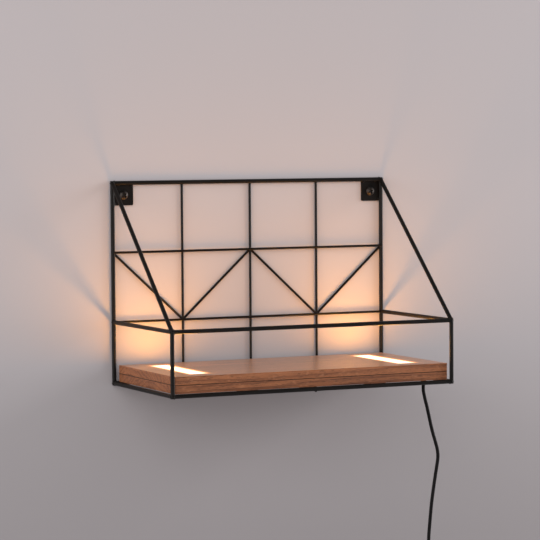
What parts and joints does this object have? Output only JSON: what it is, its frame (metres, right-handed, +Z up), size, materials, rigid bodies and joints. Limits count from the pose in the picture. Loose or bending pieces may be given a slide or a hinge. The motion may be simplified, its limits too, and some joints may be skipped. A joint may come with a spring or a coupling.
{
  "type": "wall lamp with shelf",
  "caption": "Welded black rod wall frame with a zigzag grid back and guard rail, carrying a wooden shelf board with two lit windows; thin cord with switch and plug-in supply.",
  "frame": {"origin": "midpoint between the two wall screws, on the wall's face", "axes": "+X to the right seen from the front, +Y into the wall, +Z up"},
  "size_m": [0.308, 0.1835, 0.5461],
  "materials": {
    "black_powder_coat": "fine matte black powder coat",
    "screw_steel": "dull zinc-plated steel",
    "wood": "red-brown stained and oiled hardwood",
    "opal": "opal acrylic, lit warm white from below",
    "bare_aluminium": "mill finish",
    "circuit_board": "white solder mask",
    "wire_insulation": "red and black insulated wire",
    "cord_sheath": "satin black cord sheath",
    "strap": "black hook-and-loop strap",
    "black_plastic": "fine-textured black moulded plastic",
    "plated_pins": "bright nickel plate"
  },
  "bodies": {
    "lamp": {"top_rail": "black_powder_coat", "back_bottom_rail": "black_powder_coat", "left_upright": "black_powder_coat", "right_upright": "black_powder_coat", "left_grid_upright": "black_powder_coat", "centre_grid_upright": "black_powder_coat", "right_grid_upright": "black_powder_coat", "mid_grid_rail": "black_powder_coat", "low_grid_rail": "black_powder_coat", "brace_1": "black_powder_coat", "brace_2": "black_powder_coat", "brace_3": "black_powder_coat", "brace_4": "black_powder_coat", "front_bottom_rail": "black_powder_coat", "left_bottom_rail": "black_powder_coat", "right_bottom_rail": "black_powder_coat", "centre_bottom_rod": "black_powder_coat", "left_front_post": "black_powder_coat", "right_front_post": "black_powder_coat", "front_guard_rail": "black_powder_coat", "left_guard_rail": "black_powder_coat", "right_guard_rail": "black_powder_coat", "left_stay": "black_powder_coat", "right_stay": "black_powder_coat", "left_wall_tab": "black_powder_coat", "right_wall_tab": "black_powder_coat", "wall_screws": "screw_steel", "left_support_bar": "black_powder_coat", "right_support_bar": "black_powder_coat", "board_screws": "screw_steel", "lower_board": "wood", "upper_board": "wood", "left_diffuser": "opal", "right_diffuser": "opal", "left_heat_plate": "bare_aluminium", "right_heat_plate": "bare_aluminium", "left_led_strip": "circuit_board", "right_led_strip": "circuit_board", "link_wires": "wire_insulation", "cord_gland": "cord_sheath", "cord_tail": "cord_sheath", "cord_cores": "wire_insulation", "cord_drop": "cord_sheath", "cord_to_coil": "cord_sheath", "cord_coil": "cord_sheath", "cord_to_plug": "cord_sheath", "cord_tie": "strap", "switch_back": "black_plastic", "switch_front": "black_plastic", "switch_terminals": "screw_steel", "supply_case": "black_plastic", "supply_cover": "black_plastic", "supply_pins": "plated_pins", "supply_board": "circuit_board", "supply_boot": "cord_sheath"},
    "rocker": {"switch_rocker": "black_plastic"}
  },
  "joints": [
    {"name": "rocker_tilt", "type": "hinge", "parent": "lamp", "child": "rocker", "pos_m": [0.142, -0.1171, -0.382], "axis": [1, 0, 0], "range_deg": [0, 16]}
  ]
}
